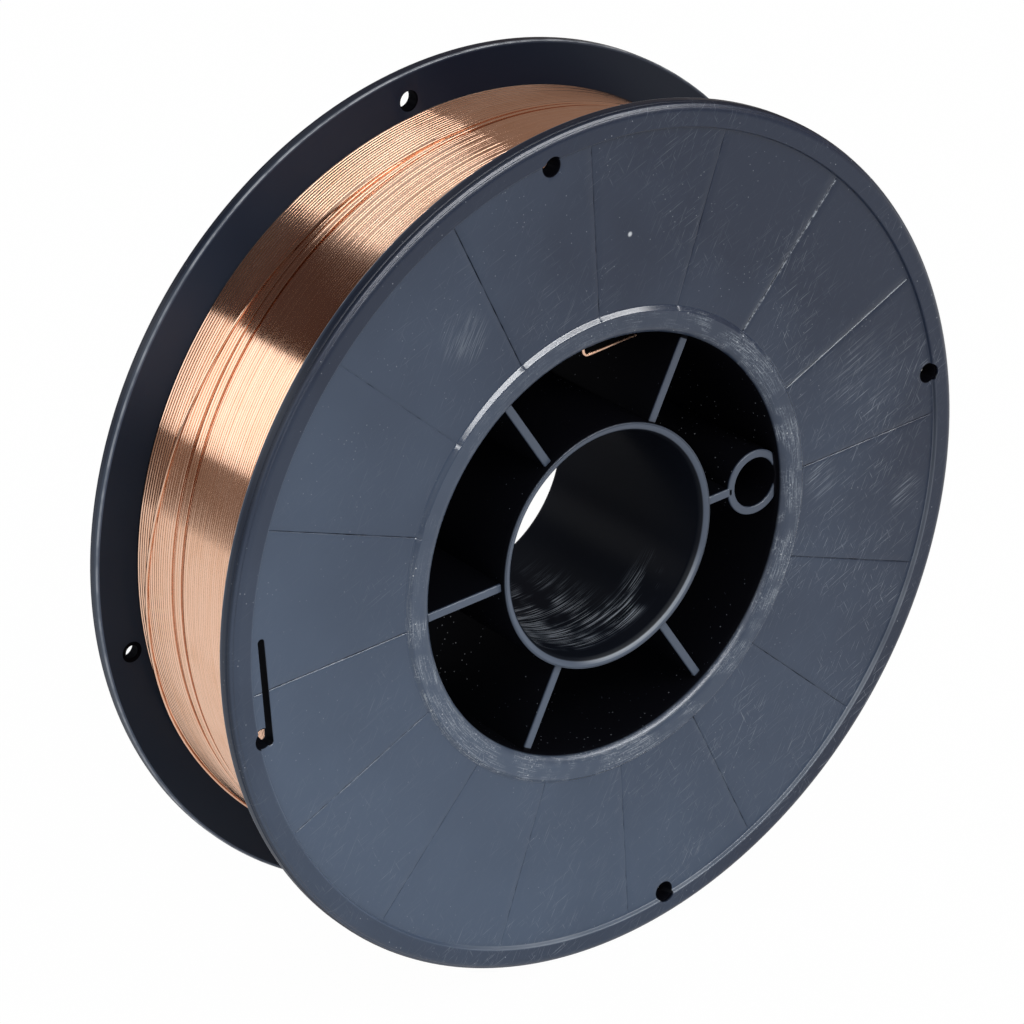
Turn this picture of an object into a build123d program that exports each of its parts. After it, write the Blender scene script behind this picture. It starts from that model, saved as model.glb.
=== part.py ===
from build123d import *

# Welding wire spool, 5 kg size: a moulded plastic spool wound full of thin copper-coated wire.
# Millimetres. The axis of the spool is Y, +Z is up, and the origin is on the axis, half way between the sides.
# The spool stands on the rims of its two flanges. The front side, with the slot for the wire, faces -Y.

import os
from math import acos, cos, degrees, radians, sin

# Driving dimensions of the spool
FLANGE_DIAMETER = 202.0
SPOOL_WIDTH = 55.0
BORE_DIAMETER = 53.0
BORE_CHAMFER = 0.75
HUB_WALL = 2.3
HUB_RECESS = 1.3
BARREL_MOUTH_DIAMETER = 98.6
BARREL_WALL = 2.5
BARREL_DRAFT = 0.5
MOUTH_CHAMFER = 1.5

# Flange, from the rim inwards
RIM_THICKNESS = 4.3
RIM_CHAMFER = 1.3
RIM_INNER_CHAMFER = 0.8
RIM_BAND_WIDTH = 5.6
PANEL_DEPTH = 0.9
PANEL_SLOPE = 0.3
RING_BAND_WIDTH = 5.4
RING_SLOPE = 1.0

# Fine radial lines of the panels
LINE_COUNT = 16
LINE_WIDTH = 0.45
LINE_DEPTH = 0.25
LINE_END_GAP = 0.4

# Ribs and driving hole
RIB_COUNT = 6
RIB_THICKNESS = 2.0
RIB_RECESS = 2.6
DRIVE_CIRCLE_RADIUS = 43.0
DRIVE_HOLE_DIAMETER = 11.8
DRIVE_RING_WALL = 1.9
ROLL_ANGLE = 3.8

# Holes and slot that hold the outer end of the wire
TIE_HOLE_COUNT = 4
TIE_HOLE_DIAMETER = 4.4
TIE_HOLE_FROM_RIM = 6.6
TIE_HOLE_ANGLE = 10.3
TIE_SLOT_LENGTH = 25.5
TIE_SLOT_WIDTH = 1.7
TIE_SLOT_FROM_RIM = 9.0
TIE_SLOT_ANGLE = 184.0

# Wire
WIRE_DIAMETER = 0.8
WOUND_SHARE = 0.797
WINDING_CLEARANCE = 0.05
BEND_RADIUS = 1.2

# Inner end of the wire, through the wall of the barrel
TAIL_ANGLE = 95.5
TAIL_BEND_INSET = 4.7
TAIL_END_ANGLE = 77.7
TAIL_END_INSET = 1.7
TAIL_FROM_FLANGE = 1.2
TAIL_HOLE_DIAMETER = 2.2

# Outer end of the wire, through a tie hole of the back flange
TIED_HOLE = 3
TIED_END_LENGTH = 11.0
TIED_END_GAP = 0.03

# Worked out from the driving dimensions
RIM_RADIUS = FLANGE_DIAMETER / 2
HALF_WIDTH = SPOOL_WIDTH / 2
BORE_RADIUS = BORE_DIAMETER / 2
HUB_RADIUS = BORE_RADIUS + HUB_WALL
MOUTH_RADIUS = BARREL_MOUTH_DIAMETER / 2
BARREL_RADIUS = MOUTH_RADIUS + BARREL_WALL
INNER_FACE = HALF_WIDTH - RIM_THICKNESS
PANEL_FACE = HALF_WIDTH - PANEL_DEPTH
PANEL_OUTER = RIM_RADIUS - RIM_BAND_WIDTH
PANEL_INNER = MOUTH_RADIUS + RING_BAND_WIDTH + RING_SLOPE
WOUND_RADIUS = BARREL_RADIUS + WOUND_SHARE * (RIM_RADIUS - BARREL_RADIUS)
TAIL_BEND_DISTANCE = MOUTH_RADIUS - TAIL_BEND_INSET
TAIL_END_DISTANCE = MOUTH_RADIUS - TAIL_END_INSET
TIE_CIRCLE_RADIUS = RIM_RADIUS - TIE_HOLE_FROM_RIM
TIE_SLOT_DISTANCE = RIM_RADIUS - TIE_SLOT_FROM_RIM


def corner(face, radius_at, height_at):
    """The corners of a flat profile at one radius, on both sides of the middle."""
    return [v for v in face.vertices() if abs(v.X - radius_at) < 1e-6 and abs(abs(v.Y) - height_at) < 1e-6]


def polar(radius, angle):
    """A point of the X-Z plane from its distance to the axis and its angle in degrees."""
    return radius * cos(radians(angle)), radius * sin(radians(angle))


def across(shape, half_length):
    """A flat shape of the X-Z plane, carried along the axis to the same distance on both sides."""
    return extrude(Plane.XZ * shape, half_length, both=True)


def shell():
    """Both flanges and the barrel between them, as one turned profile."""
    side = [
        (MOUTH_RADIUS, HALF_WIDTH),
        (MOUTH_RADIUS + RING_BAND_WIDTH, HALF_WIDTH),
        (PANEL_INNER, PANEL_FACE),
        (PANEL_OUTER, PANEL_FACE),
        (PANEL_OUTER + PANEL_SLOPE, HALF_WIDTH),
        (RIM_RADIUS, HALF_WIDTH),
        (RIM_RADIUS, INNER_FACE),
        (BARREL_RADIUS, INNER_FACE),
    ]
    middle = (MOUTH_RADIUS - BARREL_DRAFT, 0)
    profile = make_face(Polyline(middle, *side, *[(r, -y) for r, y in reversed(side)], close=True))
    profile = chamfer(corner(profile, MOUTH_RADIUS, HALF_WIDTH), MOUTH_CHAMFER)
    profile = chamfer(corner(profile, RIM_RADIUS, HALF_WIDTH), RIM_CHAMFER)
    profile = chamfer(corner(profile, RIM_RADIUS, INNER_FACE), RIM_INNER_CHAMFER)
    return revolve(profile, Axis.Y)


def hub():
    """The tube that the spindle goes into, eased at its mouths."""
    length = SPOOL_WIDTH - 2 * HUB_RECESS
    profile = Pos((BORE_RADIUS + HUB_RADIUS) / 2, 0) * Rectangle(HUB_WALL, length)
    profile = chamfer(corner(profile, BORE_RADIUS, length / 2), BORE_CHAMFER)
    return revolve(profile, Axis.Y)


def ribs():
    """Six radial walls between the hub and the barrel."""
    inner = HUB_RADIUS - HUB_WALL / 2
    outer = BARREL_RADIUS - BARREL_WALL / 2
    wall = Pos((inner + outer) / 2, 0) * Rectangle(outer - inner, RIB_THICKNESS)
    return [
        across(Rot(0, 0, ROLL_ANGLE + 360 * k / RIB_COUNT) * wall, HALF_WIDTH - RIB_RECESS)
        for k in range(RIB_COUNT)
    ]


def drive_place():
    """The middle of the driving hole, on the rib that carries it."""
    return Pos(*polar(DRIVE_CIRCLE_RADIUS, ROLL_ANGLE))


def drive_ring():
    ring = drive_place() * Circle(DRIVE_HOLE_DIAMETER / 2 + DRIVE_RING_WALL)
    return across(ring, HALF_WIDTH - RIB_RECESS)


def drive_hole():
    return across(drive_place() * Circle(DRIVE_HOLE_DIAMETER / 2), SPOOL_WIDTH)


def radial_lines():
    """Fine grooves across the panel of each side."""
    inner = PANEL_INNER + LINE_END_GAP
    outer = PANEL_OUTER - LINE_END_GAP
    bar = Box(outer - inner, 2 * LINE_DEPTH, LINE_WIDTH)
    pair = [Pos((inner + outer) / 2, side * PANEL_FACE, 0) * bar for side in (-1, 1)]
    return [Rot(0, -ROLL_ANGLE - 360 * k / LINE_COUNT, 0) * line for k in range(LINE_COUNT) for line in pair]


def tie_angle(number):
    return TIE_HOLE_ANGLE + 360 * number / TIE_HOLE_COUNT


def tie_holes():
    """Small holes near the rim, in line through both flanges."""
    hole = Circle(TIE_HOLE_DIAMETER / 2)
    places = [Pos(*polar(TIE_CIRCLE_RADIUS, tie_angle(k))) for k in range(TIE_HOLE_COUNT)]
    return [across(place * hole, SPOOL_WIDTH) for place in places]


def tie_slot():
    """The straight slot of the front flange that leads the end of the wire into a tie hole."""
    slot = Pos(TIE_SLOT_DISTANCE, 0) * SlotOverall(TIE_SLOT_LENGTH, TIE_SLOT_WIDTH, rotation=90)
    return extrude(Plane.XZ * (Rot(0, 0, TIE_SLOT_ANGLE) * slot), SPOOL_WIDTH)


def tail_height():
    """How far from the middle the inner end of the wire comes through the barrel."""
    return INNER_FACE - TAIL_FROM_FLANGE


def tail_hole():
    drill = Cylinder(TAIL_HOLE_DIAMETER / 2, 4 * BARREL_WALL, rotation=(0, 90, 0))
    return Rot(0, -TAIL_ANGLE, 0) * Pos(BARREL_RADIUS, -tail_height(), 0) * drill


def spool():
    """The whole moulding."""
    solid = shell() + hub() + ribs() + drive_ring()
    return solid - drive_hole() - tie_holes() - tie_slot() - tail_hole() - radial_lines()


def winding():
    """The wound wire as one ring that fills the spool."""
    inner = BARREL_RADIUS + WINDING_CLEARANCE
    width = 2 * (INNER_FACE - WINDING_CLEARANCE)
    profile = Pos((inner + WOUND_RADIUS) / 2, 0) * Rectangle(WOUND_RADIUS - inner, width)
    return revolve(profile, Axis.Y)


def bent_wire(*points):
    """Round wire along straight runs with tight bends between them."""
    path = FilletPolyline(*points, radius=BEND_RADIUS)
    return sweep(Plane(origin=path @ 0, z_dir=path % 0) * Circle(WIRE_DIAMETER / 2), path=path)


def at(radius, angle, height):
    x, z = polar(radius, angle)
    return x, height, z


def inner_end():
    """The inner end of the wire: through the barrel, bent over and laid along its wall."""
    height = -tail_height()
    return bent_wire(
        at(BARREL_RADIUS + 2 * WIRE_DIAMETER, TAIL_ANGLE, height),
        at(TAIL_BEND_DISTANCE, TAIL_ANGLE, height),
        at(TAIL_END_DISTANCE, TAIL_END_ANGLE, height),
    )


def outer_end():
    """The outer end: off the last layer, out through a tie hole and folded on to the panel."""
    hole = tie_angle(TIED_HOLE)
    lying = WOUND_RADIUS - WIRE_DIAMETER / 4
    leaves = hole - degrees(acos(lying / TIE_CIRCLE_RADIUS))
    inside = INNER_FACE - WIRE_DIAMETER
    outside = PANEL_FACE + TIED_END_GAP + WIRE_DIAMETER / 2
    fold = degrees(TIED_END_LENGTH / TIE_CIRCLE_RADIUS)
    return bent_wire(
        at(lying, leaves, inside),
        at(TIE_CIRCLE_RADIUS, hole, inside),
        at(TIE_CIRCLE_RADIUS, hole, outside),
        at(TIE_CIRCLE_RADIUS - TIED_END_LENGTH / 2, hole + fold, outside),
    )


def wire_coil():
    """All of the wire."""
    return winding() + inner_end() + outer_end()


os.makedirs("parts", exist_ok=True)
for piece in (spool, wire_coil):
    shape = piece()
    print(piece.__name__, len(shape.solids()), "solid,", round(shape.volume / 1000, 1), "cm3")
    export_step(shape.solids()[0], f"parts/{piece.__name__}.step")
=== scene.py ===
# %% [markdown]
# A spool of welding wire
#
# The real object is a black plastic spool, moulded in one piece, wound full of thin steel wire with a copper
# coat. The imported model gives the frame: the moulding and the wound wire at their real sizes. This script
# dresses it. The moulding is made again with the small rounds that catch the light, and the wire is made
# again turn by turn, because its look comes from hundreds of small round mirrors that lie side by side.

import math

import bpy
import numpy as np
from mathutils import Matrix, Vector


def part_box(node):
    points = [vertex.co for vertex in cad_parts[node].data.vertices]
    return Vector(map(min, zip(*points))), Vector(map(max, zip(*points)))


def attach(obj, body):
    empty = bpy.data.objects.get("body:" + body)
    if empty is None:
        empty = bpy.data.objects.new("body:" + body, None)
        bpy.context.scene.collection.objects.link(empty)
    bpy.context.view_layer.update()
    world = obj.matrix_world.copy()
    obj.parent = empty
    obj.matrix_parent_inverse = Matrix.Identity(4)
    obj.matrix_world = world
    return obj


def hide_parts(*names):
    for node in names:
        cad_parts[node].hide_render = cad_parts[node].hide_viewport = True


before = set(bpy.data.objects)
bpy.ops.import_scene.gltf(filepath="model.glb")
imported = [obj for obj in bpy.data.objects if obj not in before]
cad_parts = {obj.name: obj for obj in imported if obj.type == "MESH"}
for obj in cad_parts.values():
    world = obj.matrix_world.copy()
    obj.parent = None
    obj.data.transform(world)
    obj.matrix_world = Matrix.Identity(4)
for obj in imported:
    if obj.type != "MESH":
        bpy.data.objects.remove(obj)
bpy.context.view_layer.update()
MM = 0.001
print("nodes:", sorted(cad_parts))

# %% [markdown]
# Sizes
#
# What the script needs is measured on the frame: the coil's points give the radius and the width of the
# winding, and the spool's box gives the rim. The other sizes of the moulding are counted from these, or
# repeat the lengths of the construction. The spool turns about Y, and an angle is counted from +X towards +Z.
# In the names, a face or a side is a distance from the middle plane.

# %% Sizes read from the frame
coil_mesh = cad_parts["wire_coil"].data
coil_points = np.empty(len(coil_mesh.vertices) * 3)
coil_mesh.vertices.foreach_get("co", coil_points)
coil_points = coil_points.reshape(-1, 3)
spool_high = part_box("spool")[1]
RIM_RADIUS = spool_high.z
SIDE = spool_high.y
WOUND_RADIUS = coil_points[:, 2].max()
WOUND_HALF_WIDTH = -coil_points[:, 1].min()
print("rim", round(RIM_RADIUS / MM, 1), "wound", round(WOUND_RADIUS / MM, 1), "mm")

# %% Sizes of the moulding
MOUTH_RADIUS = 49.3 * MM
BARREL_RADIUS = 51.8 * MM
PANEL_INNER = 55.7 * MM
PANEL_OUTER = RIM_RADIUS - 5.6 * MM
PANEL_FACE = SIDE - 0.9 * MM
INNER_FACE = SIDE - 4.3 * MM
# The first radial line and the first rib are at the same angle, in degrees
LINE_COUNT = 16
FIRST_LINE = 3.8
TIE_RADIUS = RIM_RADIUS - 6.6 * MM
TIE_ANGLES = np.radians(10.3 + 90 * np.arange(4))
print("tie holes at", np.degrees(TIE_ANGLES).round(1).tolist(), "degrees")

# %% [markdown]
# The camera
#
# The rims of the two flanges are circles of a known size, so their ellipses in the photograph fix where the
# camera stood. It looks from the front left, slightly down, through a long lens.

# %% Camera
AZIMUTH = math.radians(-37.6)
ELEVATION = math.radians(25.46)
DISTANCE = 971.1 * MM
LENS = 152.97
AIM_RIGHT = -5.33 * MM
AIM_DOWN = 1.31 * MM


def direction(azimuth, elevation):
    """The unit vector towards a place seen at that azimuth from -Y, and at that elevation."""
    level = math.cos(elevation)
    return np.array([math.sin(azimuth) * level, -math.cos(azimuth) * level, math.sin(elevation)])


back = direction(AZIMUTH, ELEVATION)
right = np.cross(-back, [0, 0, 1])
right /= np.linalg.norm(right)
down = np.cross(-back, right)
camera = bpy.data.objects.new("camera", bpy.data.cameras.new("camera"))
bpy.context.collection.objects.link(camera)
camera.data.lens = LENS
camera.data.sensor_width = 36
camera.data.clip_start = 0.01
camera.location = back * DISTANCE + right * AIM_RIGHT + down * AIM_DOWN
camera.rotation_euler = (math.pi / 2 - ELEVATION, 0, AZIMUTH)
bpy.context.scene.camera = camera

# %% [markdown]
# Shader maths in plain Python
#
# A material is a graph of nodes. Written node by node it is long, so one small class wraps a socket and turns
# + - * / and a few functions into Math nodes. A formula then reads like one.


# %% A socket that can be added and multiplied
class Value:
    """A number that changes over a surface: the output socket of a node."""

    def __init__(self, graph, socket):
        self.graph, self.socket = graph, socket

    def math(self, operation, *others):
        return self.graph.node("ShaderNodeMath", {"operation": operation}, [self, *others])

    def __add__(self, other):
        return self.math("ADD", other)

    def __sub__(self, other):
        return self.math("SUBTRACT", other)

    def __mul__(self, other):
        return self.math("MULTIPLY", other)

    def __truediv__(self, other):
        return self.math("DIVIDE", other)

    def __rsub__(self, other):
        return (self * -1) + other

    __radd__, __rmul__ = __add__, __mul__

    def size(self):
        return self.math("ABSOLUTE")

    def clamp(self):
        return self.graph.node("ShaderNodeClamp", {}, [self])

    def step(self, low, high):
        """0 below low, 1 above high, and a smooth ramp between them. With low above high it falls."""
        settings = {"interpolation_type": "SMOOTHSTEP"}
        return self.graph.node("ShaderNodeMapRange", settings, [self, low, high, 0, 1])

    def band(self, low, high, soft):
        """1 between low and high, 0 outside, with ramps as wide as soft."""
        return self.step(low - soft, low) * self.step(high + soft, high)


class Graph:
    """The nodes of one material or of the world."""

    def __init__(self, owner):
        self.owner = owner
        owner.use_nodes = True
        self.tree = owner.node_tree
        self.tree.nodes.clear()

    def node(self, kind, settings=None, inputs=(), output=0):
        """A node of that kind. Settings are set first, then its sockets, by place or by name."""
        made = self.tree.nodes.new(kind)
        for name, value in (settings or {}).items():
            setattr(made, name, value)
        pairs = inputs.items() if isinstance(inputs, dict) else enumerate(inputs)
        for key, value in pairs:
            if isinstance(value, Value):
                self.tree.links.new(value.socket, made.inputs[key])
            elif value is not None:
                made.inputs[key].default_value = value
        return Value(self, made.outputs[output] if made.outputs else None)

    def place(self):
        """Object coordinates in millimetres."""
        point = self.node("ShaderNodeTexCoord", output="Object")
        return self.node("ShaderNodeVectorMath", {"operation": "SCALE"}, {"Vector": point, "Scale": 1 / MM})

    def part(self, vector, name):
        return self.node("ShaderNodeSeparateXYZ", {}, [vector], output=name)

    def join(self, *parts):
        return self.node("ShaderNodeCombineXYZ", {}, parts)

    def noise(self, at, scale, detail, roughness):
        sockets = {"Vector": at, "Scale": scale, "Detail": detail, "Roughness": roughness}
        return self.node("ShaderNodeTexNoise", {}, sockets)

    def dots(self, at, scale):
        """How far the nearest point of a random sprinkle is, in cells."""
        sockets = {"Vector": at, "Scale": scale}
        return self.node("ShaderNodeTexVoronoi", {}, sockets)

    def mix(self, factor, first, second):
        """The first colour where factor is 0, the second where it is 1."""
        sockets = {0: factor, 6: first, 7: second}
        return self.node("ShaderNodeMix", {"data_type": "RGBA"}, sockets, output=2)

    def bump(self, height, distance, strength):
        sockets = {"Height": height, "Distance": distance, "Strength": strength}
        return self.node("ShaderNodeBump", {}, sockets)

    def principled(self, **sockets):
        named = {key.replace("_", " "): value for key, value in sockets.items()}
        return self.node("ShaderNodeBsdfPrincipled", {}, named)

    def surface(self, shader):
        kind = "World" if isinstance(self.owner, bpy.types.World) else "Material"
        self.node("ShaderNodeOutput" + kind, {}, {"Surface": shader})
        return self.owner


def srgb(red, green, blue):
    """A colour read off the photograph, 0 to 255, as the linear colour that a shader takes."""
    c = np.array([red, green, blue]) / 255
    linear = np.where(c > 0.04045, ((c + 0.055) / 1.055) ** 2.4, c / 12.92)
    return (*[float(x) for x in linear], 1.0)


# %% [markdown]
# Surfaces from arrays
#
# Nearly everything here is a round section or an outline that is carried along a path, so a grid of points
# does it: one axis of the grid runs along the path, the other round the section. Whole arrays are worked out
# at once, and the sign of the volume that they close tells which way their faces have to point.


# %% From a grid of points to a mesh
def unit(vectors):
    return vectors / np.linalg.norm(vectors, axis=-1, keepdims=True)


def grid_faces(rows, columns, loop_rows=False):
    """Four-sided faces between neighbouring points of a grid whose columns close to a ring.

    The face at row i and column j has the corners (i, j), (i + 1, j), (i + 1, j + 1) and (i, j + 1). With
    loop_rows the last row meets the first, and without it the two ends get one flat face each.
    """
    i, j = np.meshgrid(np.arange(rows if loop_rows else rows - 1), np.arange(columns), indexing="ij")
    below, beside = (i + 1) % rows, (j + 1) % columns
    corners = [i * columns + j, below * columns + j, below * columns + beside, i * columns + beside]
    quads = np.stack(corners, -1)
    faces = quads.reshape(-1, 4).tolist()
    if not loop_rows:
        first = np.arange(columns)
        faces += [first.tolist(), (first + (rows - 1) * columns)[::-1].tolist()]
    return faces


def volume(points, faces):
    """Six times the volume inside the faces: the sum of corner . (next corner x the one after)."""
    quads = np.array([face for face in faces if len(face) == 4])
    a, b, c, d = (points[quads[:, k]] for k in range(4))
    return float((np.cross(b, c) * a).sum() + (np.cross(c, d) * a).sum())


def shells(*grids, loop_rows=False):
    """Points and faces of several grids, each turned so that its faces point outwards."""
    points, faces = [], []
    for grid in grids:
        rows, columns = grid.shape[:2]
        flat = grid.reshape(-1, 3)
        mine = grid_faces(rows, columns, loop_rows)
        if volume(flat, mine) < 0:
            mine = [face[::-1] for face in mine]
        start = sum(len(part) for part in points)
        faces += [[corner + start for corner in face] for face in mine]
        points.append(flat)
    return np.concatenate(points), faces


def add_mesh(name, points, faces, material, sharp=None):
    """A smooth mesh object. Edges that turn by more than sharp degrees stay sharp."""
    mesh = bpy.data.meshes.new(name)
    mesh.from_pydata(points.tolist(), [], faces)
    if material:
        mesh.materials.append(material)
    mesh.shade_smooth()
    if sharp:
        mesh.set_sharp_from_angle(angle=math.radians(sharp))
    made = bpy.data.objects.new(name, mesh)
    bpy.context.collection.objects.link(made)
    return made


def dress(piece, node):
    """The piece stands for a node of the frame: it rides on the root body, and the node is hidden."""
    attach(piece, "root")
    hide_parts(node)
    print(piece.name, len(piece.data.loops) - 2 * len(piece.data.polygons), "triangles")


def rounded(corners, bends, ease=0.12 * MM):
    """A line through corners, each bent to an arc. A bend is its radius and its number of steps.

    Where the line turns by an angle a, the arc of radius r starts r tan(a / 2) before the corner. Its points
    are start + r (sin t u + (1 - cos t) n), with t from 0 to a, u the way in and n the side that it turns to.
    One more point on each side of the arc, at the distance ease, keeps the runs between the arcs flat.
    """
    corners = np.asarray(corners, float)
    line = [corners[:1]]
    for before, corner, after, (radius, steps) in zip(corners, corners[1:], corners[2:], bends):
        way_in, way_out = unit(corner - before), unit(after - corner)
        turn = math.acos(way_in @ way_out)
        side = unit(way_out - way_in * (way_in @ way_out))
        t = np.linspace(0, turn, steps + 1)[:, None]
        start = corner - radius * math.tan(turn / 2) * way_in
        arc = start + radius * (np.sin(t) * way_in + (1 - np.cos(t)) * side)
        line += [(start - ease * way_in)[None], arc, (arc[-1] + ease * way_out)[None]]
    return np.concatenate([*line, corners[-1:]])


def round_y(radii, angles, heights):
    """Points from the distance to the Y axis, the angle and the height along it, whatever their grid."""
    radii, angles, heights = np.broadcast_arrays(radii, angles, heights)
    return np.stack([radii * np.cos(angles), heights, radii * np.sin(angles)], -1)


# %% [markdown]
# Black plastic
#
# The moulding is a dark blue-grey polystyrene with a satin skin. What happens to it depends on the place: the
# raised ring and the rim touch the bench first, dust lies between the ribs, and little light reaches the
# holes. So the first step turns a point into its distance to the axis, its angle and its depth in millimetres
# and degrees, and these into soft masks.


# %% Where a point of the moulding lies
class Moulding:
    """A point's place, and masks that are 1 in a zone of the moulding and 0 outside it."""

    def __init__(self, g):
        self.g, self.at = g, g.place()
        self.x, self.y, self.z = (g.part(self.at, name) for name in "XYZ")
        self.r = (self.x * self.x + self.z * self.z).math("SQRT")
        self.angle = self.z.math("ARCTAN2", self.x) * (180 / math.pi)
        self.depth = self.y.size()
        self.outside = self.depth.step(24.0, 24.6)
        self.ring = self.r.band(49.8, 55.2, 0.8) * self.outside
        self.rim = self.r.step(95.6, 96.2) * self.outside
        self.panel = self.r.band(56.0, 95.0, 0.5) * self.outside
        self.pocket = self.r.band(28.4, 49.6, 0.5) * self.depth.step(24.8, 24.2)
        self.patches = g.noise(self.at, 0.035, 2.0, 0.5).step(0.40, 0.62)
        self.worn = g.noise(self.at, 0.13, 2.0, 0.6).step(0.40, 0.60)

    def streaks(self, turn, length, width):
        """Scratches that rise by that angle in the X-Z plane: a noise of (along / length, across / width)."""
        c, s = math.cos(math.radians(turn)), math.sin(math.radians(turn))
        along, across = self.x * c + self.z * s, self.z * c - self.x * s
        return self.g.noise(self.g.join(along / length, across / width, self.y * 0.1), 1.0, 2.0, 0.55)

    def rings(self, length, width):
        """The same round the axis: a noise of (angle / length, distance to the axis / width)."""
        at = self.g.join(self.angle / length, self.r / width, self.y / width)
        return self.g.noise(at, 1.0, 2.0, 0.55)

    def near(self, place_x, place_z, reach, core=0.3):
        """1 at a place of the flat side and up to that share of the reach, 0 from the reach on."""
        away_x, away_z = self.x - place_x, self.z - place_z
        return (away_x * away_x + away_z * away_z).math("SQRT").step(reach, reach * core)


# %% [markdown]
# Marks of use
#
# Long thin scratches lie on the flat sides, short ones in the bore, and scuffs on the raised ring. They are
# all one idea: a noise that is stretched along the scratch and cut off high up, so that only its thin peaks
# stay. Dust is a sprinkle of dots, and four of the pressed lines have gone white, two of them only faintly.

# %% Marks of use
# Rubbed places: X and Z, reach in millimetres, amount
LOW_RUBS = [(74, 22, 17, 0.25), (60.9, -1.1, 6, 0.8), (87.4, -11.2, 6, 0.8)]
STEEP_RUBS = [(-39.5, 60, 8, 0.4)]
CHIP_X, CHIP_Z, CHIP_REACH = 4.4, 72.6, 0.8
# Whitened lines: angle, half their width in millimetres, how solid the white is, amount
WHITE_LINES = [
    (26.3, 0.34, 0.75, 1.0),
    (48.8, 0.60, 0.10, 1.0),
    (-176.2, 0.30, 0.0, 0.3),
    (-153.7, 0.30, 0.0, 0.3),
]


def scratches(m):
    """Thin ones in three directions where hands take the spool, and denser ones at the rubbed places."""
    low, steep, leaning = m.streaks(24, 8, 0.24), m.streaks(63, 6, 0.22), m.streaks(116, 5, 0.24)
    handled = (m.x * 0.004 - m.z * 0.003 + 0.55).clamp() * (m.patches * 0.85 + 0.15)
    thin = (low.step(0.62, 0.74) + steep.step(0.62, 0.74) + leaning.step(0.66, 0.77)) * handled
    low_rubs = sum(m.near(*place) * amount for *place, amount in LOW_RUBS)
    steep_rubs = sum(m.near(*place) * amount for *place, amount in STEEP_RUBS)
    dense = low.step(0.50, 0.68) * low_rubs + steep.step(0.46, 0.64) * steep_rubs
    return (thin + dense).clamp() * (m.panel + m.rim).clamp()


def scuffs(m):
    """Marks on the raised ring, round the axis and in no direction. Its upper left part has fewer."""
    turned = m.rings(5, 0.17).step(0.50, 0.68)
    mottled = m.g.noise(m.at, 2.0, 3.0, 0.7).step(0.52, 0.68)
    fewer = 1 - m.angle.band(70, 178, 15) * 0.7
    return ((turned * 0.8 + mottled * 0.8) * m.worn * m.ring * fewer).clamp()


def dust(m):
    """Flecks on the worn places and between the ribs, and one pale chip in the front panel."""
    flecks = m.g.dots(m.at, 0.62).step(0.12, 0.05)
    lies = m.worn * (m.ring + m.rim * 0.6 + m.panel * 0.35) + m.pocket * m.patches * 0.9
    chip = m.near(CHIP_X, CHIP_Z, CHIP_REACH) * m.y.step(0, -1)
    return (flecks * lies.clamp() + chip).clamp()


def bore_scratches(m):
    """What the spindle leaves in the lower wall of the bore: in its middle, and at its front on the right."""
    turned = m.rings(26, 0.20).step(0.49, 0.62) * m.g.noise(m.at, 0.12, 2.0, 0.5).step(0.36, 0.58)
    middle = m.angle.band(-150, -80, 25) * m.y.step(22, 0)
    front = m.angle.band(-110, -50, 25) * m.y.step(-8, -14)
    return turned * m.r.step(26.9, 26.6) * (middle + front).clamp() * m.y.step(-22, -19)


def white_lines(m):
    """Each is a band along its radius, solid or broken up by a speckle."""
    speckle = m.g.noise(m.at, 1.1, 3.0, 0.7).step(0.44, 0.62)
    whitened = 0
    for line, wide, solid, amount in WHITE_LINES:
        away = ((m.angle - line) * (math.pi / 180) * m.r).size()
        whitened = whitened + away.step(wide, wide * 0.2) * (speckle * (1 - solid) + solid) * amount
    return whitened * m.r.band(56.4, 94.6, 0.4) * m.outside


# Painted highlights: light lines where edges of the moulding catch the light
def painted_edge_highlights(m):
    """Painted highlights on the rim's corner towards the wire, the panel's step at the lower right, and the
    bore's mouth there.
    """
    corner = m.depth.band(23.30, 23.60, 0.12) * m.r.step(100.2, 100.5) * (m.worn * 0.4 + 0.6)
    step = m.r.band(95.30, 95.85, 0.10) * m.outside * m.angle.band(-100, -10, 25) * (m.patches * 0.5 + 0.5)
    mouth = m.r.band(26.5, 27.7, 0.3) * m.depth.step(24.6, 25.2) * m.angle.band(-90, -35, 22)
    return corner, step, mouth


# %% [markdown]
# Painted shade
#
# Where little light reaches, between the ribs, in the bore and the holes, beside the wire and on the rim's
# outer side, the shade is painted: a flat black is mixed into the plastic there. The finish then stacks
# everything: a random tone with painted light towards the lower left, the marks with the painted edge
# highlights, a grain that gives the satin its fine bump, and the painted shade on top.

# %% Plastic finish
# Plastic colours between which a random tone and a painted light, stronger towards the lower left, vary
PLASTIC_DARK = srgb(25, 37, 59)
PLASTIC_PALE = srgb(74, 89, 111)
# Pale colours of scuffs and dust, which also paint the edge highlights
SCUFF_AND_HIGHLIGHT = srgb(150, 158, 168)
DUST_AND_HIGHLIGHT = srgb(205, 209, 214)
# Flat black of the painted shade in recesses
PAINTED_SHADE_BLACK = srgb(9, 8, 11)
# Reach and core of the painted shade round each tie hole, in millimetres
HOLE_SHADE_REACH, HOLE_SHADE_CORE = 2.46, 0.965


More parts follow.
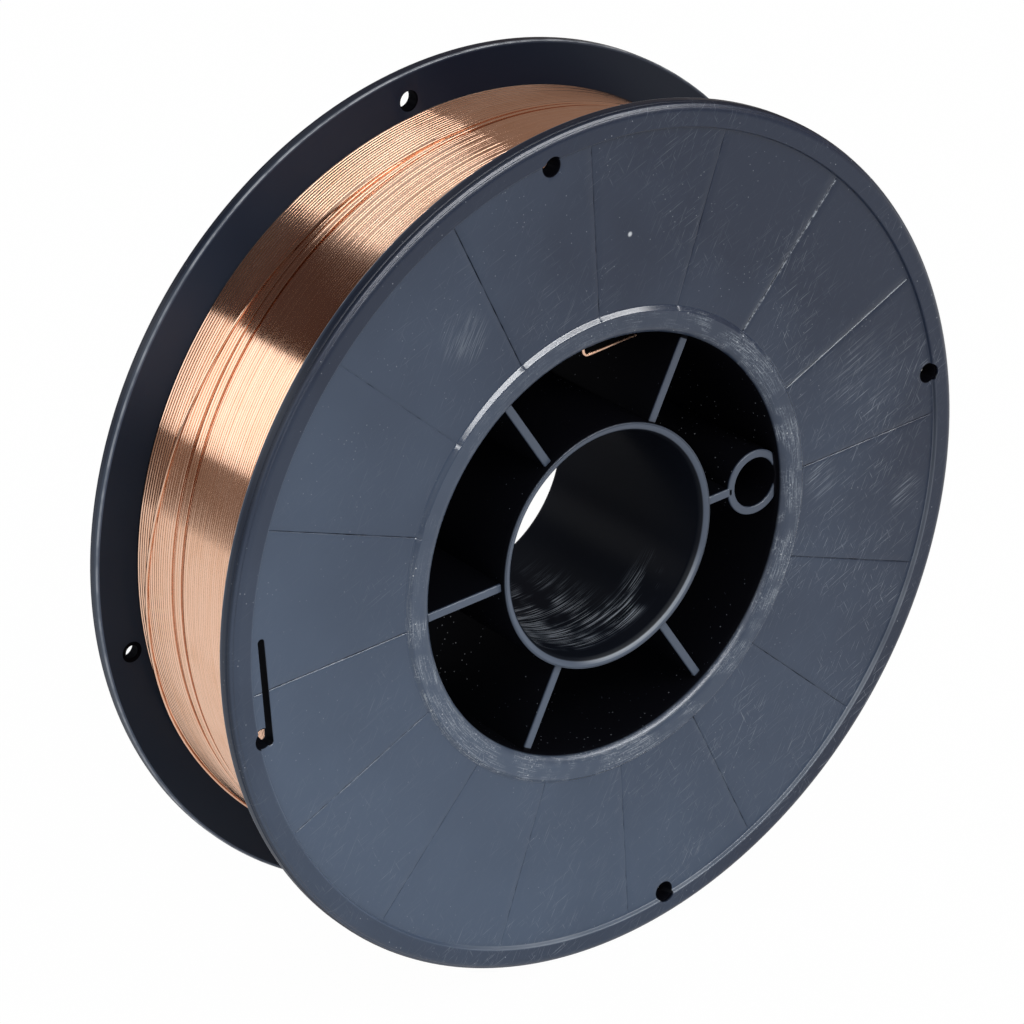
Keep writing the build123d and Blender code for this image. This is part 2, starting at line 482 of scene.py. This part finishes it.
def painted_shade_amount(m, dusty, spun, corner):
    """How much painted shade, a flat black, covers the plastic: nearly all in the pockets, bore and holes,
    less in other places.
    """
    # Painted shade on the walls of the hub and the barrel and between the ribs, broken by dust flecks
    walls = (m.r.band(28.66, 28.95, 0.06) + m.r.band(48.6, 49.8, 0.2)) * m.depth.step(26.4, 25.7)
    pockets = (m.pocket + walls).clamp() * (1 - dusty) * 0.97
    # Painted shade in the bore, except where the spindle scratched it
    bore = m.r.step(27.3, 27.0) * (1 - spun) * 0.9
    # Painted shade in the holes and the slot, between the faces of the flanges, and round each tie hole
    holes = m.r.band(52.5, 98.0, 0.6) * m.depth.step(26.52, 26.3) * m.depth.step(23.3, 23.6)
    for angle in TIE_ANGLES:
        place = TIE_RADIUS / MM * math.cos(angle), TIE_RADIUS / MM * math.sin(angle)
        holes = holes + m.near(*place, HOLE_SHADE_REACH, HOLE_SHADE_CORE)
    # Painted shade beside the wire on the flanges' inner faces, less at the top, where more light falls
    lit = m.angle.band(55, 140, 25)
    shade_by_wire = m.r.band(52.5, 100.25, 0.2) * m.depth.step(23.6, 23.3) * (0.78 - lit * 0.30)
    # Painted shade on the rim's outer side, except along the painted highlight of its corner
    side = m.r.step(100.4, 100.8) * (1 - corner) * 0.42
    return (pockets + bore + holes.clamp() * 0.96 + shade_by_wire + side).clamp()


def plastic_finish():
    g = Graph(bpy.data.materials.new("black_plastic"))
    m = Moulding(g)
    dusty, spun = dust(m), bore_scratches(m)
    # Painted highlights along the rim's inner corner, the panel's step and the bore's mouth
    corner, step, mouth = painted_edge_highlights(m)
    marks_and_highlights = scratches(m) * 0.6 + scuffs(m) * 0.85 + dusty * 0.9 + spun + white_lines(m) * 0.8
    # The painted edge highlights join the marks and take their pale colours and roughness
    marks_and_highlights = (marks_and_highlights + corner * 0.35 + step * 0.45 + mouth * 0.6).clamp()

    # A random tone, painted light that grows towards the lower left, and a darker rim
    tone_and_painted_light = g.noise(m.at, 0.02, 3.0, 0.55) * 0.7 - m.x * 0.0045 - m.z * 0.0045 - m.rim * 0.55 + 0.12
    core_side = m.r.band(26.7, 49.0, 0.4) * m.depth.step(24.55, 24.8)
    base = g.mix(tone_and_painted_light.clamp(), PLASTIC_DARK, PLASTIC_PALE)
    base = g.mix(m.ring * 0.04 + core_side * 0.12, base, SCUFF_AND_HIGHLIGHT)
    base = g.mix(marks_and_highlights, base, g.mix((dusty + corner).clamp(), SCUFF_AND_HIGHLIGHT, DUST_AND_HIGHLIGHT))
    grain = g.noise(m.at, 2.6, 2.0, 0.5)
    ring_foot = m.r.band(54.7, 55.8, 0.15) * m.outside
    moulded = g.principled(
        Base_Color=base,
        Roughness=grain * 0.10 + 0.27 + marks_and_highlights * 0.25 - ring_foot * 0.14,
        Specular_IOR_Level=0.42,
        Normal=g.bump(grain, 0.015 * MM, 0.5),
    )
    # A flat black diffuse: the painted shade, mixed in by the amount worked out above
    dull = g.node("ShaderNodeBsdfDiffuse", {}, {"Color": PAINTED_SHADE_BLACK})
    return g.surface(g.node("ShaderNodeMixShader", {}, [painted_shade_amount(m, dusty, spun, corner), moulded, dull]))


plastic = plastic_finish()
print("plastic nodes:", len(plastic.node_tree.nodes))

# %% [markdown]
# Copper coat
#
# The wire is drawn, then flashed with copper, and it is as smooth as a mirror along its length. Roughness is
# low, so the studio's panels keep crisp edges in it. Each turn is a little brighter or browner than the next,
# which a noise of the height along the axis alone gives, and faint tarnish comes and goes along the turns.
# The bent inner end was handled, so it is duller.

# %% Copper finish
BRIGHT_COPPER, BROWN_COPPER = (0.955, 0.64, 0.48, 1), (0.80, 0.46, 0.29, 1)


def copper_finish(name, dull):
    """Copper whose least roughness is dull."""
    g = Graph(bpy.data.materials.new(name))
    at = g.place()
    x, y, z = (g.part(at, name) for name in "XYZ")
    angle = z.math("ARCTAN2", x)
    turns = g.noise(g.join(0.0, y, 0.0), 1.35, 1.0, 0.5).step(0.30, 0.70)
    drawn = g.noise(g.join(angle * 5, y, 0.0), 2.4, 3.0, 0.6)
    tarnish = g.noise(at, 0.06, 3.0, 0.6).step(0.42, 0.70)
    browned = (turns * 0.35 + drawn.step(0.45, 0.75) * 0.25 + tarnish * 0.25).clamp()
    color = g.mix(browned, BRIGHT_COPPER, BROWN_COPPER)
    roughness = drawn * 0.05 + turns * 0.03 + dull
    return g.surface(g.principled(Base_Color=color, Metallic=1.0, Roughness=roughness))


copper = copper_finish("copper_coat", 0.05)
bare_end = copper_finish("copper_bare_end", 0.22)

# %% [markdown]
# The flanges and the barrel
#
# They are one turned shape, like a potter's. Half of its outline is drawn from corner to corner with a round
# at each one, the other half is its mirror image, and the whole outline is carried round the axis. Sixteen
# fine radial lines are pressed into each side. The grid has columns for them: near a line, a column keeps a
# fixed distance from it in millimetres, and the rows there sink by the depth of the line.

# %% Outline of the moulding
# Corners from the middle of the mouth to the middle of the barrel, and the bends between: millimetres, steps
HALF_OUTLINE = [
    (MOUTH_RADIUS - 0.5 * MM, 0),
    (MOUTH_RADIUS, SIDE),
    (PANEL_INNER - 1.0 * MM, SIDE),
    (PANEL_INNER, PANEL_FACE),
    (PANEL_OUTER, PANEL_FACE),
    (PANEL_OUTER + 0.3 * MM, SIDE),
    (RIM_RADIUS, SIDE),
    (RIM_RADIUS, INNER_FACE),
    (BARREL_RADIUS, INNER_FACE),
    (BARREL_RADIUS, 0),
]
HALF_BENDS = [(2.5, 8), (0.35, 3), (0.4, 3), (0.25, 3), (0.3, 3), (2.3, 26), (0.5, 5), (0.8, 3)]
PANEL_ROWS = 27
PARTING_LINES = (0.62, 1.75)
PARTING_DEPTH, PARTING_WIDTH = 0.2 * MM, 0.13 * MM


def outline():
    """One side's rounded outline, with rows added across the panel, and its mirror image."""
    half = rounded(HALF_OUTLINE, [(radius * MM, steps) for radius, steps in HALF_BENDS])
    foot = int(np.argmax(half[:, 0] > PANEL_OUTER - 2 * MM))
    rows = np.linspace(half[foot - 1], half[foot], PANEL_ROWS + 2)[1:-1]
    half = np.insert(half, foot, rows, axis=0)
    other = half[-2:0:-1] * [1, -1]
    return np.concatenate([half, other])


def parting_lines(radii, heights):
    """Two hair lines in the outer round of the rim, where parts of the mould meet: r less their depth."""
    from_side = np.abs(heights) - SIDE
    dip = sum(np.exp(-(((from_side + at * MM) / PARTING_WIDTH) ** 2)) for at in PARTING_LINES)
    return radii - PARTING_DEPTH * dip * (radii > RIM_RADIUS - 2.5 * MM)


# %% Radial lines
# Distances across a line, the share of its depth at each, and the columns up to the next line
ACROSS = np.array([-0.30, -0.16, -0.08, 0.0, 0.08, 0.16, 0.30]) * MM
SUNK = np.array([0.0, 0.35, 0.9, 1.0, 0.9, 0.35, 0.0])
BETWEEN = 14
# Depth of the lines, how uneven it is and its limits, and where the lines begin and end, in millimetres
DEPTHS, UNEVEN_DEPTH, DEPTH_LIMITS = (0.10, 0.24), 0.035, (0.05, 0.28)
LINE_ENDS = [54.2, 54.9, 94.9, 95.5]


def flange_grid():
    """Points of the moulding on the grid (outline point, column).

    A column stands at line + fraction of the step to the next line + distance across the line / r. A row on
    the panel sinks at a line by its depth there, which chance makes uneven from line to line and along each.
    """
    radii, heights = outline().T
    radii = parting_lines(radii, heights)
    fractions = np.concatenate([np.zeros(len(ACROSS)), np.arange(1, BETWEEN + 1) / (BETWEEN + 1)])
    across = np.concatenate([ACROSS, np.zeros(BETWEEN)])
    sunk = np.concatenate([SUNK, np.zeros(BETWEEN)])
    step = 2 * np.pi / LINE_COUNT
    lines = math.radians(FIRST_LINE) + step * np.arange(LINE_COUNT)
    angles = (lines[:, None] + fractions * step).ravel() + np.tile(across, LINE_COUNT) / radii[:, None]
    rng = np.random.default_rng(7)
    depth = rng.uniform(*DEPTHS, (LINE_COUNT, 1)) + rng.normal(0, UNEVEN_DEPTH, (LINE_COUNT, len(radii)))
    on_panel = np.interp(radii / MM, LINE_ENDS, [0, 1, 1, 0])
    ends = on_panel * (np.abs(heights) > INNER_FACE + 1 * MM)
    deep = np.clip(depth, *DEPTH_LIMITS).T[:, :, None] * sunk * MM
    sink = deep.reshape(len(radii), -1) * ends[:, None]
    return round_y(radii[:, None], angles, heights[:, None] - np.sign(heights)[:, None] * sink)


# %% [markdown]
# Holes for the end of the wire
#
# Four small holes go through both flanges near the rim, a slot leads to one of them from the front, and one
# goes through the barrel. Each is cut with a Boolean modifier. The cutter of a hole is a prism that narrows
# towards the wire, as a moulded hole does to come off its pin, and the slot's widens at the face, so that its
# edge is eased.

# %% Cutters
HOLE_RADIUS = 2.0 * MM
HOLE_DRAFT = np.array([0.45, 0.35, 0.20, -0.40, -0.42]) * MM
SLOT_RADIUS = RIM_RADIUS - 9.0 * MM
SLOT_ANGLE = math.radians(184)
SLOT_HALF_RUN, SLOT_HALF_WIDTH = 11.9 * MM, 0.85 * MM
TAIL_ANGLE = 95.5
TAIL_HEIGHT = -(INNER_FACE - 1.2 * MM)
DRILL_RADIUS, DRILL_ENDS = 1.1 * MM, (46 * MM, 56 * MM)
PRISM_SIDES, DRILL_SIDES = 32, 16
EASE = 0.08 * MM
WIDE_HOLE, WIDE_EASE = 1, 0.5 * MM


def prism(distance, angle, half_run, radius, heights, grow):
    """A prism along Y, a circle pulled apart into a slot: centre + (r + grow)(cos u, sin u) +- half run."""
    u = (np.arange(PRISM_SIDES) + 0.5) * 2 * np.pi / PRISM_SIDES
    out = np.array([math.cos(angle), 0, math.sin(angle)])
    along = np.array([-math.sin(angle), 0, math.cos(angle)])
    ring = np.cos(u)[:, None] * out + np.sin(u)[:, None] * along
    shift = (np.sign(np.sin(u)) * half_run)[:, None] * along + distance * out
    points = (radius + np.asarray(grow))[:, None, None] * ring + shift
    points[..., 1] = np.asarray(heights)[:, None]
    return points


def barrel_drill():
    """A round prism along the radius through the barrel's wall, where the inner end of the wire comes in."""
    ends = np.array([[r, 0.0, 0.0] for r in DRILL_ENDS])
    u = np.linspace(0, 2 * np.pi, DRILL_SIDES, endpoint=False)
    ring = np.stack([0 * u, np.cos(u), np.sin(u)], -1) * DRILL_RADIUS
    x, y, z = np.moveaxis(ends[:, None] + ring, -1, 0)
    c, s = math.cos(math.radians(TAIL_ANGLE)), math.sin(math.radians(TAIL_ANGLE))
    return np.stack([x * c - z * s, y + TAIL_HEIGHT, x * s + z * c], -1)


def cutters():
    """Two groups that don't touch in themselves: the four holes with the drill, and the slot.

    The heights go through both flanges, each from its face to its inner side, and the draft widens or narrows
    the hole there. The slot runs into one of the holes.
    """
    side = np.array([SIDE + EASE, PANEL_FACE, PANEL_FACE - EASE, INNER_FACE + EASE, INNER_FACE - EASE])
    eased = np.array([2, 1, 0, 0, 0]) * EASE
    wide = np.array([2, 1, 0.6, 0.6, 1.6]) * WIDE_EASE
    heights = [*-side, *side[::-1]]
    holes = []
    for k, angle in enumerate(TIE_ANGLES):
        grow = [*HOLE_DRAFT, *(wide if k == WIDE_HOLE else HOLE_DRAFT)[::-1]]
        holes.append(prism(TIE_RADIUS, angle, 0, HOLE_RADIUS, heights, grow))
    slot = prism(SLOT_RADIUS, SLOT_ANGLE, SLOT_HALF_RUN, SLOT_HALF_WIDTH, -side, eased)
    return [*holes, barrel_drill()], [slot]


# %% Cut the flanges
SHARP_ANGLE = 40
flanges = add_mesh("flanges", *shells(flange_grid(), loop_rows=True), plastic)
tools = [add_mesh(f"cutter_{k}", *shells(*group), None) for k, group in enumerate(cutters())]
for tool in tools:
    cut = flanges.modifiers.new(tool.name, "BOOLEAN")
    cut.operation, cut.solver, cut.object = "DIFFERENCE", "EXACT", tool
cut_mesh = bpy.data.meshes.new_from_object(flanges.evaluated_get(bpy.context.evaluated_depsgraph_get()))
flanges.modifiers.clear()
flanges.data = cut_mesh
cut_mesh.set_sharp_from_angle(angle=math.radians(SHARP_ANGLE))
for tool in tools:
    bpy.data.objects.remove(tool)
print("flanges before and after the cuts:", len(flanges.data.polygons), "faces")
dress(flanges, "spool")

# %% [markdown]
# The hub, its ribs and the driving ring
#
# Inside the barrel, six thin walls carry the tube that the spindle goes into. One of them stops at a ring
# round the driving hole, which the pin of the spindle turns. The tube and the ring are turned outlines too,
# and a wall is a rounded rectangle carried outwards from the hub into the barrel.

# %% Hub, ribs and driving ring
BORE_RADIUS = 26.5 * MM
HUB_RADIUS = 28.8 * MM
HUB_SIDE = SIDE - 1.3 * MM
RIB_SIDE = SIDE - 2.6 * MM
RIB_HALF = 1.0 * MM
DRIVE_DISTANCE = 43.0 * MM
DRIVE_RADIUS = 5.9 * MM
DRIVE_WALL = 1.9 * MM
MOUTH_BEND, HUB_BEND, RIB_BEND = 1.9 * MM, 0.25 * MM, 0.35 * MM
HUB_COLUMNS, DRIVE_COLUMNS = 144, 64
MERGE = 1.2 * MM


def tube(inner, outer, side, inner_bend, outer_bend, columns):
    """A turned tube about Y between two radii, with its four edges rounded."""
    corners = [(inner, 0), (inner, side), (outer, side), (outer, -side), (inner, -side), (inner, 0)]
    bends = [(inner_bend, 9), (outer_bend, 4), (outer_bend, 4), (inner_bend, 9)]
    radii, heights = rounded(corners, bends)[:-1].T
    angles = np.linspace(0, 2 * np.pi, columns, endpoint=False)
    return round_y(radii[:, None], angles, heights[:, None])


def rib(angle, inner, outer):
    """A wall whose section, in the plane of Y and its thickness, is a rectangle with rounded corners."""
    half, side = RIB_HALF, RIB_SIDE
    corners = [(0, -side), (half, -side), (half, side), (-half, side), (-half, -side), (0, -side)]
    across, heights = rounded(corners, [(RIB_BEND, 4)] * 4)[:-1].T
    distance = np.array([inner, outer])[:, None]
    c, s = math.cos(angle), math.sin(angle)
    x, z = distance * c - across * s, distance * s + across * c
    return np.stack(np.broadcast_arrays(x, heights, z), -1)


rib_angles = np.radians(FIRST_LINE + 60 * np.arange(6))
drive_place = DRIVE_DISTANCE * np.array([math.cos(rib_angles[0]), 0, math.sin(rib_angles[0])])
turned = [
    tube(BORE_RADIUS, HUB_RADIUS, HUB_SIDE, MOUTH_BEND, HUB_BEND, HUB_COLUMNS),
    tube(DRIVE_RADIUS, DRIVE_RADIUS + DRIVE_WALL, RIB_SIDE, RIB_BEND, RIB_BEND, DRIVE_COLUMNS) + drive_place,
]
ring_start = DRIVE_DISTANCE - DRIVE_RADIUS - DRIVE_WALL / 2
hub_end, barrel_end = HUB_RADIUS - MERGE, MOUTH_RADIUS + MERGE
walls = [rib(angle, hub_end, barrel_end if k else ring_start) for k, angle in enumerate(rib_angles)]
points, faces = shells(*turned, loop_rows=True)
more_points, more_faces = shells(*walls)
faces += [[corner + len(points) for corner in face] for face in more_faces]
core = add_mesh("hub_and_ribs", np.concatenate([points, more_points]), faces, plastic, SHARP_ANGLE)
dress(core, "spool")

# %% [markdown]
# Wire, turn by turn
#
# A layer is one long wire. It keeps its height along the axis for most of a turn, then steps over by the
# width of a turn, low on the back, and goes on beside itself. So a layer is a table: for each turn, its
# height and its distance from the axis at every angle. The photograph shows two gaps between turns that
# wander as they go round, a turn that climbs out of the layer and crosses it to the back flange, and the
# layer below in the gaps.

# %% Where the turns run
WIRE_RADIUS = 0.4 * MM
LAYER_STEP = 0.70 * MM
PITCH_BACK = 0.873 * MM
PITCH_FRONT = 0.70 * MM
STEPS = 180
SIDES = 10
START = 250.0
STEP_OVER = 80.0
TOP = WOUND_RADIUS - WIRE_RADIUS - 0.02 * MM
turn_angles = START + 360 * np.arange(STEPS) / STEPS
# Middle of the gaps and half the width of the second one: angle in degrees, millimetres
GAP_1 = [(84, 6.6), (103, 6.8), (147, 6.3), (164, 5.95), (177, 5.75), (191, 5.6), (206, 5.42), (300, 6.0)]
GAP_2 = [(84, 8.3), (103, 8.62), (128, 9.2), (147, 9.5), (164, 9.66), (177, 9.6), (206, 9.42), (300, 8.9)]
HALF_GAP_2 = [(84, 0.50), (121, 0.53), (140, 0.32), (206, 0.30), (300, 0.4)]
# Two of the three turns between the gaps lie deeper on top and rise from there: degrees, millimetres
RISING = [(60, -0.52), (112, -0.52), (132, 0.0), (330, 0.0), (20, -0.52)]
# Uneven turns: how many waves, what their sum is divided by, and how far a whole turn is off
WAVES, WAVE_SUM, WHOLE_TURN = 6, 2.4, 1.2


def read(angles, table):
    """A value at each angle in degrees, read between the points of a table that closes on itself."""
    places, values = zip(*table)
    return np.interp(angles % 360, places, np.array(values) * MM, period=360)


gap_1, gap_2 = read(turn_angles, GAP_1), read(turn_angles, GAP_2)
half_gap_1 = 0.47 * MM
half_gap_2 = read(turn_angles, HALF_GAP_2)


def spread(low, high, pitch):
    """Turns side by side between two changing heights: low + (high - low)(k + 1/2) / count."""
    count = int(round(float(np.mean(high - low)) / pitch))
    share = (np.arange(count) + 0.5)[:, None] / count
    return low + (high - low) * share


def wander(rows, amount, seed):
    """Small uneven shifts of each turn: a sum of waves a cos(n angle + phase) with chance a and phase."""
    rng = np.random.default_rng(seed)
    swings = rng.normal(0, 1, (rows, WAVES, 1))
    phases = rng.uniform(0, 6.3, (rows, WAVES, 1))
    n = np.arange(1, WAVES + 1)[None, :, None]
    waves = swings * np.cos(np.radians(turn_angles) * n + phases)
    return (waves.sum(1) / WAVE_SUM + rng.normal(0, WHOLE_TURN, (rows, 1))) * amount


full = np.ones(STEPS)
front = spread(-WOUND_HALF_WIDTH * full, gap_1 - half_gap_1, PITCH_FRONT)
middle = (gap_1 + half_gap_1 + WIRE_RADIUS) + np.array([0.0, 0.82, 1.64])[:, None] * MM * full
behind = spread(gap_2 + half_gap_2, WOUND_HALF_WIDTH * full, PITCH_BACK)
rising = read(turn_angles, RISING)
sunk_between = np.stack([0 * full, rising, rising * 1.05])
print(len(front), "turns in front,", len(middle), "between the gaps,", len(behind), "behind")

# %% Wire as a tube
UNEVEN_HEIGHT, UNEVEN_RADIUS = 0.010 * MM, 0.018 * MM
MOST_RAISED = 0.03 * MM
END_SIDES = 14


def path_of(heights, radii):
    """One wire from a table of turns. In the step-over it goes from each row of the table to the next one."""
    c = np.clip((turn_angles - START) / STEP_OVER, 0, 1)
    c = c * c * (3 - 2 * c)
    last_heights, last_radii = np.vstack([heights[:1], heights[:-1]]), np.vstack([radii[:1], radii[:-1]])
    y = (last_heights * (1 - c) + heights * c).ravel()
    r = (last_radii * (1 - c) + radii * c).ravel()
    angles = np.radians((turn_angles + 360 * np.arange(len(heights))[:, None]).ravel())
    return round_y(r, angles, y)


def tube_along(path, radius, sides, reference=(0, 1, 0)):
    """A round section carried along a path.

    point = centre + radius (cos(s) a + sin(s) b), where b is square to the path and to the side that the
    reference points to, and a is square to both.
    """
    forward = unit(np.gradient(path, axis=0))
    a = unit(np.cross(forward, np.asarray(reference, float)))
    b = np.cross(a, forward)
    s = np.linspace(0, 2 * np.pi, sides, endpoint=False)
    return path[:, None] + radius * (np.cos(s)[:, None] * a[:, None] + np.sin(s)[:, None] * b[:, None])


def wire(name, path, sides=SIDES, reference=(0, 1, 0)):
    piece = add_mesh(name, *shells(tube_along(path, WIRE_RADIUS, sides, reference)), copper)
    dress(piece, "wire_coil")
    return piece


def lay(name, heights, raised, seed):
    """A group of turns of the top layer, uneven by a hundredth of a millimetre or two."""
    heights = heights + wander(len(heights), UNEVEN_HEIGHT, seed)
    radii = TOP + raised + wander(len(heights), UNEVEN_RADIUS, seed + 1)
    wire(name, path_of(heights, np.minimum(radii, TOP + MOST_RAISED)))


lay("front_turns", front, 0 * front, 1)
lay("middle_turns", middle, sunk_between, 3)
lay("back_turns", behind, 0 * behind, 5)
below = spread(-WOUND_HALF_WIDTH * full, WOUND_HALF_WIDTH * full, PITCH_BACK)
wire("turns_below", path_of(below, TOP - LAYER_STEP + 0 * below), sides=6)

# %% [markdown]
# The last turn and the two ends
#
# The last turn rises out of the layer where the photograph shows it and runs over it to the back flange. From
# there it goes down behind to a tie hole of that flange and is folded over outside. The inner end comes
# through the barrel beside the front flange and is bent over against the barrel's wall, where it shows in the
# mouth.

# %% Last turn and ends
BEND, BEND_EASE = (1.2 * MM, 8), 0.3 * MM
TAIL_END_ANGLE = 77.7
FOLD_LENGTH = 11 * MM
# Angle in degrees and height in millimetres, then angle and rise over the layer as a share of a layer's step
LAST_HEIGHTS = [
    (70, 9.0), (100, 9.35), (109, 9.6), (115, 10.0), (122, 10.7), (134, 12.3), (143, 13.1), (149, 13.8),
    (154, 14.5), (167, 16.1), (179, 18.6), (191, 20.4), (203, 22.2), (209, 22.55), (222, 22.7), (262, 22.7),
]
LAST_RISE = [(98, 0.0), (112, 1.0), (240, 1.0), (262, 0.5)]


def last_turn():
    """Its height and its distance from the axis at each angle, as the photograph shows them."""
    angles = np.arange(LAST_HEIGHTS[0][0], LAST_HEIGHTS[-1][0], 2.0)
    heights = np.interp(angles, *zip(*LAST_HEIGHTS))
    rise = np.interp(angles, *zip(*LAST_RISE))
    return round_y(TOP + rise * LAYER_STEP, np.radians(angles), heights * MM)


def place_at(radius, degrees, height):
    return [radius * math.cos(math.radians(degrees)), height, radius * math.sin(math.radians(degrees))]


inner_end = [
    place_at(BARREL_RADIUS + 4 * WIRE_RADIUS, TAIL_ANGLE, TAIL_HEIGHT),
    place_at(MOUTH_RADIUS - 4.0 * MM, TAIL_ANGLE, TAIL_HEIGHT),
    place_at(MOUTH_RADIUS - 1.7 * MM, TAIL_END_ANGLE, TAIL_HEIGHT),
]
hole = math.degrees(TIE_ANGLES[3])
lying = WOUND_RADIUS - WIRE_RADIUS / 2
leaves = hole - math.degrees(math.acos(lying / TIE_RADIUS))
inside, outside = INNER_FACE - 2 * WIRE_RADIUS, PANEL_FACE + WIRE_RADIUS + 0.03 * MM
folded = hole + math.degrees(FOLD_LENGTH / TIE_RADIUS)
outer_end = [
    place_at(lying, leaves, inside),
    place_at(TIE_RADIUS, hole, inside),
    place_at(TIE_RADIUS, hole, outside),
    place_at(TIE_RADIUS - FOLD_LENGTH / 2, folded, outside),
]
wire("last_turn", last_turn())
tail = wire("inner_end", rounded(inner_end, [BEND], BEND_EASE), END_SIDES)
tail.data.materials[0] = bare_end
# The section of the outer end turns to a side that none of its runs is parallel to
wire("outer_end", rounded(outer_end, [BEND] * 2, BEND_EASE), END_SIDES, place_at(1.0, hole - 20, 0.3))

# %% [markdown]
# Floor, backdrop and light
#
# The photograph has a pure white ground. The floor and the world are white for the rays that the camera,
# gloss and glass send out, and only the rest of the floor's share keeps the spool's shadow. In a white room a
# mirror shows nothing, so a photographer of copper puts boards round it: here long ones, parallel to the
# spool's axis. Three dark ones give the wire its dark bands, two pale ones the steps between the bright
# bands, and one in front dims what the flat side mirrors. Only mirrors see them. Two soft lamps hang high in
# front: a broad one, and a long strip that shines on the plastic and the bent end alone and draws the light
# lines along their rounds.

# %% Floor
FLOOR = -RIM_RADIUS
REACH = 30.0
FLOOR_TO_CAMERA, FLOOR_TO_MIRRORS = 0.985, 0.20


def seen_rays(g, camera_share, mirror_share):
    """The share of white that a ray gets: one for the camera's own rays, one for gloss and glass."""
    kinds = ("Camera", "Glossy", "Transmission")
    camera_ray, gloss, glass = (g.node("ShaderNodeLightPath", output=f"Is {kind} Ray") for kind in kinds)
    return (camera_ray * camera_share + (gloss + glass).clamp() * mirror_share).clamp()


def floor_finish():
    g = Graph(bpy.data.materials.new("white_floor"))
    white = g.node("ShaderNodeEmission", {}, {"Color": (1, 1, 1, 1), "Strength": 1.0})
    matt = g.node("ShaderNodeBsdfDiffuse", {}, {"Color": (0.9, 0.9, 0.9, 1)})
    share = seen_rays(g, FLOOR_TO_CAMERA, FLOOR_TO_MIRRORS)
    return g.surface(g.node("ShaderNodeMixShader", {}, [share, matt, white]))


def flat_piece(name, corners, material):
    """A single four-sided face for the studio, not part of the spool."""
    mesh = bpy.data.meshes.new(name)
    mesh.from_pydata([tuple(map(float, corner)) for corner in corners], [], [(0, 1, 2, 3)])
    mesh.materials.append(material)
    made = bpy.data.objects.new(name, mesh)
    bpy.context.collection.objects.link(made)
    return made


square = [(-REACH, -REACH, FLOOR), (REACH, -REACH, FLOOR), (REACH, REACH, FLOOR), (-REACH, REACH, FLOOR)]
flat_piece("floor", square, floor_finish())

# %% Boards for the wire to reflect
DEEP, WARM, NEUTRAL = (1, 0.64, 0.56, 1), (1, 0.80, 0.70, 1), (1, 1, 1, 1)
# Name, two edges as pairs of angles in degrees, distance from the wire in metres, brightness, tint
BOARDS = [
    ("board_above", (121.3, 107.0), (140.3, 139.1), 2.0, 0.058, DEEP),
    ("board_left", (157.8, 168.8), (166.0, 187.6), 0.84, 0.21, WARM),
    ("board_right", (84.0, -4.0), (100.3, 72.6), 2.0, 0.24, WARM),
    ("panel_above", (98.0, 66.0), (123.0, 111.0), 2.4, 0.62, NEUTRAL),
    ("panel_left", (138.0, 135.0), (160.0, 173.0), 2.4, 1.6, NEUTRAL),
]
HALF_LENGTH = 8.0
FRONT_HALF_WIDTH, FRONT_DISTANCE, FRONT_TOP, FRONT_LEVEL = 3, 2.6, 3, 0.1


def plain_board(name, corners, level, tint):
    """A flat board of an even shade that only mirrors see."""
    g = Graph(bpy.data.materials.new(name))
    g.surface(g.node("ShaderNodeEmission", {}, {"Color": tint, "Strength": level}))
    made = flat_piece(name, corners, g.owner)
    made.visible_camera = made.visible_diffuse = made.visible_shadow = made.visible_transmission = False


def board(name, first, second, away, level, tint):
    """A long board parallel to the spool's axis.

    Each edge is given by the point of the wire that mirrors it and the way that it lies in from there, both
    as angles round the axis: edge = wire point + distance (cos, sin).
    """
    edges = [
        round_y(WOUND_RADIUS, math.radians(wire_at), 0) + round_y(away, math.radians(way), 0)
        for wire_at, way in (first, second)
    ]
    length = np.array([0, HALF_LENGTH, 0])
    corners = [edges[0] - length, edges[1] - length, edges[1] + length, edges[0] + length]
    plain_board(name, corners, level, tint)
    print(name, "edges at", [[round(float(v), 2) for v in edge] for edge in edges])


for row in BOARDS:
    board(*row)
wide = FRONT_HALF_WIDTH
front_corners = [(-wide, FLOOR), (wide, FLOOR), (wide, FRONT_TOP), (-wide, FRONT_TOP)]
plain_board("board_front", [(x, -FRONT_DISTANCE, z) for x, z in front_corners], FRONT_LEVEL, NEUTRAL)

# %% World and lamps
DIFFUSE_LEVEL = 0.78
AWAY = 1.3


def studio():
    """A white world: 1 for the camera, gloss and glass, and the diffuse level for all other light."""
    world = bpy.data.worlds.new("studio")
    bpy.context.scene.world = world
    g = Graph(world)
    strength = seen_rays(g, 1 - DIFFUSE_LEVEL, 1 - DIFFUSE_LEVEL) + DIFFUSE_LEVEL
    g.surface(g.node("ShaderNodeBackground", {}, {"Color": (1, 1, 1, 1), "Strength": strength}))


studio()


def soft_lamp(name, way, width, height, radiance, lit=None):
    """A rectangle of light, level along its width. Its power is radiance x pi x area."""
    lamp = bpy.data.objects.new(name, bpy.data.lights.new(name, "AREA"))
    bpy.context.collection.objects.link(lamp)
    lamp.data.shape = "RECTANGLE"
    lamp.data.size, lamp.data.size_y = width, height
    lamp.data.energy = radiance * math.pi * width * height
    way = unit(np.array(way))
    lamp.location = way * AWAY
    lamp.rotation_euler = (math.acos(way[2]), 0, math.atan2(way[0], -way[1]))
    if lit:
        only = bpy.data.collections.new("lit_by_" + name)
        for piece in lit:
            only.objects.link(piece)
        lamp.light_linking.receiver_collection = only
    return lamp


soft_lamp("softbox", (0.14, -0.71, 0.69), width=0.75, height=0.30, radiance=5.0)
lit = [flanges, core, tail]
strip = soft_lamp("strip", (0.18, -0.69, 0.70), width=1.95, height=0.26, radiance=19.0, lit=lit)
strip.visible_diffuse = False
bpy.context.scene.view_settings.view_transform = "Standard"
